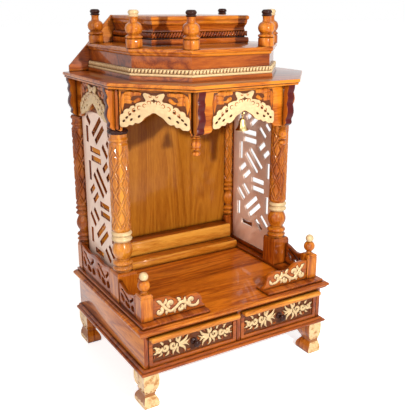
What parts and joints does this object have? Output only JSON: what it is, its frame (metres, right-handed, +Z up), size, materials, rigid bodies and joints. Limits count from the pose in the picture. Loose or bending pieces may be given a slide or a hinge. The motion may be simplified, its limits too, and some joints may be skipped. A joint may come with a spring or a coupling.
{
  "type": "pooja mandir",
  "caption": "Carved wooden home temple: a canopy on turned columns over a deck with drawers, with a stepped roof, pale side lattices and a hanging bell.",
  "frame": {"origin": "on the floor, under the middle of the whole object", "axes": "+X to the viewer's right, -Y out of the front, +Z up"},
  "size_m": [0.61, 0.48, 0.987],
  "materials": {
    "varnished_wood": "glossy varnish",
    "dark_wood": "glossy varnish, darker mouldings",
    "turned_wood": "glossy varnish, turned and carved",
    "gilt": "cream gold paint on carved wood",
    "lattice": "pale satin lacquer",
    "maroon": "dark maroon paint",
    "drawer_lining": "bare wood",
    "knob": "dark varnish",
    "brass": "polished"
  },
  "bodies": {
    "temple": {"foot_front_left": "gilt", "foot_front_right": "gilt", "foot_rear_left": "gilt", "foot_rear_right": "gilt", "base_plate": "dark_wood", "case_left": "varnished_wood", "case_right": "varnished_wood", "case_back": "varnished_wood", "case_divider": "varnished_wood", "deck_moulding": "dark_wood", "deck_board": "varnished_wood", "rim_left": "dark_wood", "rim_right": "dark_wood", "newel_left": "turned_wood", "newel_right": "turned_wood", "front_panel_left": "varnished_wood", "front_panel_right": "varnished_wood", "side_rails_left": "dark_wood", "side_rails_right": "dark_wood", "column_front_left": "turned_wood", "column_front_right": "turned_wood", "column_rear_left": "turned_wood", "column_rear_right": "turned_wood", "lattice_left": "lattice", "lattice_right": "lattice", "lattice_frames": "dark_wood", "back_panel": "varnished_wood", "step_lower": "varnished_wood", "step_upper": "varnished_wood", "roof_slab": "varnished_wood", "corner_posts": "turned_wood", "drop_left": "turned_wood", "drop_right": "turned_wood", "brackets": "maroon", "frieze_side_left": "varnished_wood", "frieze_side_right": "varnished_wood", "frieze_chamfer_left": "varnished_wood", "frieze_chamfer_right": "varnished_wood", "frieze_front": "varnished_wood", "gilt_arches": "gilt", "tier_lower": "varnished_wood", "tier_beading": "gilt", "tier_cap": "varnished_wood", "crown_box": "varnished_wood", "crown_rope": "dark_wood", "crown_cap": "varnished_wood", "roof_back": "varnished_wood", "finials_left": "turned_wood", "finials_right": "turned_wood", "bell_hook": "brass"},
    "drawer_left": {"drawer_left_box": "drawer_lining", "drawer_left_front": "dark_wood", "drawer_left_knob": "knob"},
    "drawer_right": {"drawer_right_box": "drawer_lining", "drawer_right_front": "dark_wood", "drawer_right_knob": "knob"},
    "bell": {"bell": "brass"}
  },
  "joints": [
    {"name": "drawer_left_slide", "type": "slide", "parent": "temple", "child": "drawer_left", "axis": [0, -1, 0], "range_m": [0, 0.3]},
    {"name": "drawer_right_slide", "type": "slide", "parent": "temple", "child": "drawer_right", "axis": [0, -1, 0], "range_m": [0, 0.3]},
    {"name": "bell_swing", "type": "hinge", "parent": "temple", "child": "bell", "pos_m": [0, -0.208, 0.7401], "axis": [1, 0, 0], "range_deg": [-35, 35]}
  ]
}
